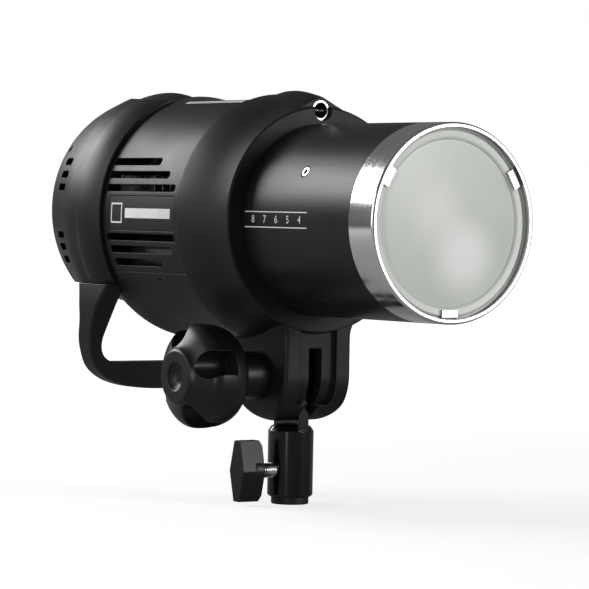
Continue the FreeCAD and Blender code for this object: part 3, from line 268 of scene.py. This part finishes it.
def paint_nodes():
    """Gives every CAD node its finished material."""
    casing = casing_material()
    cast = cast_material()
    tube = tube_material()
    gloss = gloss_material()
    adapter = adapter_material()
    ring = turned_metal("polished_ring", (0.80, 0.80, 0.81), 0.14)
    chrome = steel_material("bright_steel", STEEL_COLOR, 0.16)
    thread = steel_material("thread_steel", STEEL_COLOR, 0.16, edge=0.00004)
    steel = steel_material("brushed_steel", (0.52, 0.52, 0.53), 0.34)
    brass = steel_material("machined_brass", (0.70, 0.50, 0.22), 0.28)
    glass = frosted_glass()
    clear = clear_glass("clear_glass", (0.93, 0.95, 0.95))
    smoked = plain("smoked_window", (0.004, 0.004, 0.006), 0.08, depth=0.000002)
    dish = turned_metal("spun_aluminium", (0.83, 0.83, 0.81), 0.26)
    ceramic = plain("ceramic", (0.80, 0.78, 0.72), 0.5)
    fibre = plain("friction_fibre", (0.13, 0.10, 0.07), 0.8, grain=900.0, depth=0.00005)
    foil = plain("label_foil", (0.76, 0.76, 0.755), 0.42, grain=500.0, depth=0.000004)
    rubber = plain("button_rubber", (0.05, 0.05, 0.053), 0.62, wear=(0.09, 0.09, 0.09))
    board = plain("circuit_lacquer", (0.02, 0.13, 0.055), 0.35, grain=300.0, depth=0.00003)
    # near-black capacitor sleeves: painted shade seen through the vents
    sleeve = plain("can_sleeve", (0.012, 0.013, 0.022), 0.4)
    oxide = plain("black_oxide_steel", (0.02, 0.02, 0.021), 0.35, 0.6)
    copper = plain("enamelled_copper", (0.62, 0.28, 0.12), 0.32, 0.85, grain=700.0, depth=0.00008)
    black = plain("moulded_black", (0.008, 0.008, 0.0082), 0.5, wear=(0.02, 0.02, 0.02))
    shader_of(black).inputs["Specular IOR Level"].default_value = 0.28
    red = plain("sensor_red", (0.22, 0.008, 0.008), 0.15)
    groups = {
        casing: ("upper_casing", "lower_casing", "rear_bumper", "carry_handle"),
        cast: ("front_collar", "tilt_yoke"),
        tube: ("front_tube",),
        gloss: ("tilt_knob", "tilt_spacer", "lock_wing", "dial", "power_rocker"),
        adapter: ("adapter_body",),
        ring: ("front_ring",),
        chrome: ("umbrella_tube",),
        thread: ("lock_thread",),
        oxide: ("tube_screws", "casing_screws", "bumper_screws"),
        steel: (
            "tilt_washer", "tilt_stud", "panel_screws", "dial_shaft", "sync_jack", "usb_port",
            "glass_clips"),
        brass: ("knob_insert", "lock_pad", "inlet_pins"),
        glass: ("glass_plate",),
        clear: ("flash_tube", "modelling_lamp"),
        smoked: ("display_window",),
        dish: ("reflector", "heat_sink"),
        ceramic: ("lamp_plate", "flash_sockets", "lamp_socket"),
        fibre: ("friction_discs",),
        foil: ("shoulder_strips",),
        rubber: ("test_button", "lamp_button", "ready_button", "slave_button"),
        board: ("power_board", "control_board", "display_module"),
        sleeve: ("capacitor_bank",),
        copper: ("transformer", "inductor"),
        # the chassis is black here as painted shade seen through the vents; the other parts are their own
        # black
        black: (
            "rear_panel", "mains_inlet", "fuse_drawer", "switch_bezel", "fan_housing", "fan_rotor",
            "adapter_bush", "side_plates", "chassis"),
        red: ("light_sensor",),
    }
    for material, names in groups.items():
        for name in names:
            for slot in nodes[name].material_slots:
                slot.material = material
    left = [name for name in nodes if not any(name in names for names in groups.values())]
    if left:
        raise ValueError("no material for " + str(left))


# ---------------------------------------------------------------- marks on the surfaces
def make_object(name, build, material, body):
    """A mesh object from a bmesh-building function, riding on a body."""
    mesh = bpy.data.meshes.new(name)
    shape = bmesh.new()
    build(shape)
    bmesh.ops.recalc_face_normals(shape, faces=shape.faces)
    shape.to_mesh(mesh)
    shape.free()
    piece = bpy.data.objects.new(name, mesh)
    bpy.context.scene.collection.objects.link(piece)
    mesh.materials.append(material)
    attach(piece, body)
    return piece


def text_mesh(words, size):
    """Flat mesh of a text, centred on the origin of its own plane."""
    curve = bpy.data.curves.new("words", "FONT")
    curve.body = words
    curve.size = size
    curve.align_x = "CENTER"
    curve.align_y = "CENTER"
    curve.extrude = 0.0
    holder = bpy.data.objects.new("words", curve)
    bpy.context.scene.collection.objects.link(holder)
    bpy.context.view_layer.update()
    mesh = bpy.data.meshes.new_from_object(holder.evaluated_get(bpy.context.evaluated_depsgraph_get()))
    bpy.data.objects.remove(holder)
    return mesh


def add_flat(shape, mesh, place):
    """Adds a flat mesh to a bmesh with each point put through place(u, v)."""
    made = {}
    for vertex in mesh.vertices:
        made[vertex.index] = shape.verts.new(place(vertex.co.x, vertex.co.y))
    for polygon in mesh.polygons:
        try:
            shape.faces.new([made[i] for i in polygon.vertices])
        except ValueError:
            pass


def add_patch(shape, u0, u1, v0, v1, place, steps=12):
    """Adds a strip of quads over a rectangle of the surface that place(u, v) describes."""
    lower = [shape.verts.new(place(u0 + (u1 - u0) * i / steps, v0)) for i in range(steps + 1)]
    upper = [shape.verts.new(place(u0 + (u1 - u0) * i / steps, v1)) for i in range(steps + 1)]
    for i in range(steps):
        shape.faces.new([lower[i], lower[i + 1], upper[i + 1], upper[i]])


def tube_side(radius, side):
    """Point on the side of a tube about the optical axis: u runs back along Y, v runs up round the tube."""
    def place(u, v):
        angle = v / radius
        return Vector((side * radius * math.cos(angle), u, AXIS_Z + radius * math.sin(angle)))
    return place


def thicken(piece, depth):
    solid = piece.modifiers.new("thickness", "SOLIDIFY")
    solid.thickness = depth
    solid.offset = 0.0


# Scale on the side of the tube, measured back from the front rim.
SCALE_FRONT = 55.6 * MM
SCALE_REAR = 110.2 * MM
SCALE_FIRST = 61.9 * MM
SCALE_STEP = 10.2 * MM
SCALE_FIGURES = "45678"
SCALE_HALF = 3.9 * MM
FIGURE_TALL = 5.6 * MM
LINE_HALF = 0.28 * MM
PRINT_LIFT = 0.03 * MM
PRINT_DEPTH = 0.02 * MM


def side_scale(ink):
    place = tube_side(TUBE_R + PRINT_LIFT, -1)

    def build(shape):
        for v in (-SCALE_HALF, SCALE_HALF):
            add_patch(shape, RIM_Y + SCALE_FRONT, RIM_Y + SCALE_REAR, v - LINE_HALF, v + LINE_HALF, place)
        for i, figure in enumerate(SCALE_FIGURES):
            station = RIM_Y + SCALE_FIRST + SCALE_STEP * i
            add_flat(shape, text_mesh(figure, FIGURE_TALL), lambda u, v, y=station: place(y - u, v))

    thicken(make_object("side_scale", build, ink, "head"), PRINT_DEPTH)


# Badge on a side plate: a square frame at the rear end and a bar ahead of it.
BADGE_HALF = 5.4 * MM
BADGE_LINE = 0.9 * MM
BADGE_INSET = 2.5 * MM
BAR_HALF = 2.6 * MM
BAR_GAP = 3.0 * MM


def side_badges(ink):
    """A plain square frame and a bar on each side plate, where a maker would put a name."""
    low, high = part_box("side_plates")
    middle = (low.z + high.z) / 2 - AXIS_Z
    radius = high.x + PRINT_LIFT * 2
    rear = high.y - BADGE_INSET
    front = rear - 2 * BADGE_HALF
    for side, name in ((-1, "left_badge"), (1, "right_badge")):
        place = tube_side(radius, side)

        def upright(along, across):
            return place(across, along)

        def build(shape):
            for v in (middle - BADGE_HALF, middle + BADGE_HALF - BADGE_LINE):
                add_patch(shape, front, rear, v, v + BADGE_LINE, place, 8)
            low_end, high_end = middle - BADGE_HALF + BADGE_LINE, middle + BADGE_HALF - BADGE_LINE
            for u in (front, rear - BADGE_LINE):
                add_patch(shape, low_end, high_end, u, u + BADGE_LINE, upright)
            for v in (middle - BAR_HALF, middle):
                add_patch(shape, low.y + BAR_GAP, front - BAR_GAP, v, v + BAR_HALF, place, 24)

        thicken(make_object(name, build, ink, "head"), PRINT_DEPTH)


def turned_loops(shape, centre, axis, profile, count):
    """Loops of vertices round an axis, one for each (distance along the axis, radius) of the profile."""
    axis = Vector(axis).normalized()
    across = axis.orthogonal().normalized()
    up = axis.cross(across)
    loops = []
    for along, radius in profile:
        loop = []
        for i in range(count):
            angle = 2 * math.pi * i / count
            out = across * math.cos(angle) + up * math.sin(angle)
            loop.append(shape.verts.new(Vector(centre) + axis * along + out * radius))
        loops.append(loop)
    return loops


def join_loops(shape, loops, others):
    for lower, upper in zip(loops, others):
        count = len(lower)
        for i in range(count):
            k = (i + 1) % count
            shape.faces.new([lower[i], lower[k], upper[k], upper[i]])


def ring_mesh(shape, centre, axis, profile, count=48):
    """Adds a turned ring: its profile is closed."""
    loops = turned_loops(shape, centre, axis, profile, count)
    join_loops(shape, loops, loops[1:] + loops[:1])


def disc_mesh(shape, centre, axis, profile, count=48):
    """Adds a turned cap: its profile ends in a flat disc at each end."""
    loops = turned_loops(shape, centre, axis, profile, count)
    join_loops(shape, loops, loops[1:])
    shape.faces.new(loops[0])
    shape.faces.new(list(reversed(loops[-1])))


# Profiles of turned pieces, as (distance along the axis, radius) in mm.
SCREW_RIM = ((0.0, 1.5), (0.12, 1.6), (0.12, 2.4), (0.0, 2.55))
KNOB_CAP = ((3.4, 0.6), (3.3, 3.0), (2.6, 5.2), (1.4, 6.6), (0.9, 7.3), (5.0, 7.3), (5.0, 0.6))
GASKET = ((2.4, 0.06), (1.7, 0.5), (1.5, 1.2), (1.9, 2.1), (5.0, 2.1), (5.0, 0.06))   # radius past the glass


def in_metres(profile, radius=0.0):
    return [(along * MM, radius + out * MM) for along, out in profile]


SCREW_ANGLES = (29.3, 150.7)
SCREW_STATION = 66.0 * MM
SCREW_SINK = 0.12 * MM


def screw_rims(metal):
    """Bright rims of the two upper screws of the front tube."""
    def build(shape):
        for angle in SCREW_ANGLES:
            turn = math.radians(angle)
            out = Vector((math.cos(turn), 0.0, math.sin(turn)))
            centre = Vector((0.0, RIM_Y + SCREW_STATION, AXIS_Z)) + out * (TUBE_R - SCREW_SINK)
            ring_mesh(shape, centre, out, in_metres(SCREW_RIM))

    make_object("screw_rims", build, metal, "head")


def knob_cap(material):
    """Round dished cap over the end of the knob's insert."""
    low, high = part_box("tilt_knob")
    centre = Vector((low.x, (low.y + high.y) / 2, (low.z + high.z) / 2))

    def build(shape):
        disc_mesh(shape, centre, (1.0, 0.0, 0.0), in_metres(KNOB_CAP))

    piece = make_object("knob_cap", build, material, "tilt_knob")
    for polygon in piece.data.polygons:
        polygon.use_smooth = len(polygon.vertices) == 4


def glass_gasket(material):
    """Pale seal between the glass plate and the bright ring."""
    low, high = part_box("glass_plate")
    middle = (low + high) / 2
    radius = (high.z - low.z) / 2

    def build(shape):
        face = (middle.x, low.y, middle.z)
        ring_mesh(shape, face, (0.0, 1.0, 0.0), in_metres(GASKET, radius), 96)

    piece = make_object("glass_gasket", build, material, "head")
    for polygon in piece.data.polygons:
        polygon.use_smooth = True


# Marks on the rear panel: places are (x, up from the optical axis).
PANEL_DIAL = (0.0, 5.0 * MM)
PANEL_DISPLAY = (0.0, 32.7 * MM)
PANEL_DOTS = ((-28, 21), (-28, 6), (28, 21), (28, 6), (-37, -7.5), (35, -8.5), (22.5, -14.5))
DOT_R = 0.7 * MM
DOT_CORNERS = 16
TICK_COUNT = 21
TICK_LONG = 5               # every so many ticks, a long one
TICK_FIRST = 225.0
TICK_STEP = 13.5
TICK_INNER = 15.8 * MM
BAR_COUNT = 9
BAR_FIRST = -14.6 * MM
BAR_PITCH = 3.3 * MM
BAR_WIDE = 2.2 * MM
BAR_FOOT = -4.4 * MM
BAR_LOWEST = -2.8 * MM
BAR_RISE = 0.75 * MM


def panel_marks(ink, lamp):
    """Tick ring round the dial, small dots by the controls, and plain bars in the display."""
    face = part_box("rear_panel")[1].y + PRINT_LIFT
    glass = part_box("display_window")[1].y + PRINT_LIFT

    def at(depth, x, up):
        return lambda u, v: Vector((x + u, depth, AXIS_Z + up + v))

    def ticks(shape):
        centre = at(face, *PANEL_DIAL)(0.0, 0.0)
        for i in range(TICK_COUNT):
            angle = math.radians(TICK_FIRST - TICK_STEP * i)
            out = Vector((math.cos(angle), 0.0, math.sin(angle)))
            side = Vector((-out.z, 0.0, out.x))
            outer, half = (18.0 * MM, 0.3 * MM) if i % TICK_LONG == 0 else (17.0 * MM, 0.18 * MM)
            corners = [(TICK_INNER, -half), (outer, -half), (outer, half), (TICK_INNER, half)]
            shape.faces.new([
                shape.verts.new(centre + out * along + side * across) for along, across in corners
            ])
        for x, up in PANEL_DOTS:
            place = at(face, x * MM, up * MM)
            turns = [2 * math.pi * k / DOT_CORNERS for k in range(DOT_CORNERS)]
            shape.faces.new([
                shape.verts.new(place(DOT_R * math.cos(turn), DOT_R * math.sin(turn))) for turn in turns
            ])

    def bars(shape):
        place = at(glass, *PANEL_DISPLAY)
        for i in range(BAR_COUNT):
            left = BAR_FIRST + BAR_PITCH * i
            add_patch(shape, left, left + BAR_WIDE, BAR_FOOT, BAR_LOWEST + BAR_RISE * i, place, 1)

    thicken(make_object("panel_marks", ticks, ink, "head"), PRINT_DEPTH)
    thicken(make_object("display_bars", bars, lamp, "head"), PRINT_DEPTH)


# ---------------------------------------------------------------- studio
CAMERA_PLACE = (-0.9944, -1.4228, 0.1569)
CAMERA_TURN = (             # rows of the rotation: right, up and back in its columns
    (0.81963, 0.0, -0.57290),
    (-0.57259, 0.03286, -0.81918),
    (0.018828, 0.99946, 0.026936),
)
LIGHTS = (                  # name, place, aim, width, height, watts
    ("back_box", (-0.62, 1.45, 0.86), CENTRE, 1.3, 0.55, 21.0),
    ("side_card", (-1.60, 0.42, 0.50), CENTRE, 0.9, 0.9, 5.5),
    ("strip_box", (-0.573, -0.402, 0.135), (0.0, 0.0, 0.135), 0.04, 0.26, 0.8),
    ("front_box", (0.75, -1.7, 0.55), CENTRE, 0.6, 0.6, 11.0),
    ("front_card", (1.15, -1.64, 0.25), (0.0, 0.0, 0.15), 1.0, 0.9, 8.0),
)
FLOOR_HALF = 6.0
FLOOR_GLOW = 0.72           # near the object; it rises to white further out
GLOW_REACH = (0.3, 1.8)
ROOM_LIGHT = 0.14


def build_camera():
    """Long lens, level with the light, from the tilt knob's side and in front."""
    camera = bpy.data.cameras.new("camera")
    camera.lens = 201.7
    camera.sensor_width = 36.0
    camera.clip_end = 50.0
    holder = bpy.data.objects.new("camera", camera)
    bpy.context.scene.collection.objects.link(holder)
    holder.matrix_world = Matrix.Translation(CAMERA_PLACE) @ Matrix(CAMERA_TURN).to_4x4()
    bpy.context.scene.camera = holder


def area_light(name, place, target, width, height, power):
    light = bpy.data.lights.new(name, "AREA")
    light.shape = "RECTANGLE"
    light.size = width
    light.size_y = height
    light.energy = power
    holder = bpy.data.objects.new(name, light)
    bpy.context.scene.collection.objects.link(holder)
    holder.location = place
    holder.rotation_euler = (Vector(target) - Vector(place)).to_track_quat("-Z", "Y").to_euler()


def build_floor():
    """Pale paper, which glows for the camera only."""
    mesh = bpy.data.meshes.new("floor")
    shape = bmesh.new()
    signs = ((-1, -1), (1, -1), (1, 1), (-1, 1))
    shape.faces.new([shape.verts.new((x * FLOOR_HALF, y * FLOOR_HALF, 0.0)) for x, y in signs])
    shape.to_mesh(mesh)
    shape.free()
    floor = bpy.data.objects.new("floor", mesh)
    bpy.context.scene.collection.objects.link(floor)
    paper = new_material("floor_paper", (0.45, 0.45, 0.45), 0.9)
    shader = shader_of(paper)
    shader.inputs["Specular IOR Level"].default_value = 0.0
    shader.inputs["Emission Color"].default_value = (1.0, 1.0, 1.0, 1.0)
    reach = add_node(paper, "ShaderNodeVectorMath", operation="LENGTH")
    link(paper, add_node(paper, "ShaderNodeTexCoord").outputs["Object"], reach.inputs[0])
    level = map_range(
        paper, reach.outputs["Value"], GLOW_REACH, (FLOOR_GLOW, 1.0), interpolation_type="SMOOTHSTEP")
    seen = add_node(paper, "ShaderNodeLightPath")
    glow = add_node(paper, "ShaderNodeMath", operation="MULTIPLY")
    link(paper, seen.outputs["Is Camera Ray"], glow.inputs[0])
    link(paper, level, glow.inputs[1])
    link(paper, glow.outputs["Value"], shader.inputs["Emission Strength"])
    mesh.materials.append(paper)


def build_world():
    """Even surround: white for the camera, dim for everything else."""
    world = bpy.data.worlds.new("studio")
    bpy.context.scene.world = world
    world.use_nodes = True
    background = world.node_tree.nodes["Background"]
    background.inputs["Color"].default_value = (1.0, 1.0, 1.0, 1.0)
    seen = add_node(world, "ShaderNodeLightPath").outputs["Is Camera Ray"]
    link(world, map_range(world, seen, (0.0, 1.0), (ROOM_LIGHT, 1.0)), background.inputs["Strength"])


def build_studio():
    """Floor and surround, softboxes behind, beside and in front, and a thin strip beside the adapter."""
    build_floor()
    build_world()
    for light in LIGHTS:
        area_light(*light)


bpy.context.scene.view_settings.view_transform = "Standard"
build_camera()
build_studio()
paint_nodes()
ink = plain("printed_white", (0.82, 0.82, 0.82), 0.55, depth=0.000002)
side_scale(ink)
side_badges(ink)
screw_rims(nodes["lock_thread"].data.materials[0])
knob_cap(nodes["tilt_knob"].data.materials[0])
glass_gasket(plain("gasket_silicone", (0.62, 0.64, 0.61), 0.5, depth=0.000004))
glow = plain("display_green", (0.10, 0.55, 0.22), 0.4, depth=0.000002)
shader_of(glow).inputs["Emission Color"].default_value = (0.15, 0.9, 0.35, 1.0)
shader_of(glow).inputs["Emission Strength"].default_value = 0.5
panel_marks(ink, glow)
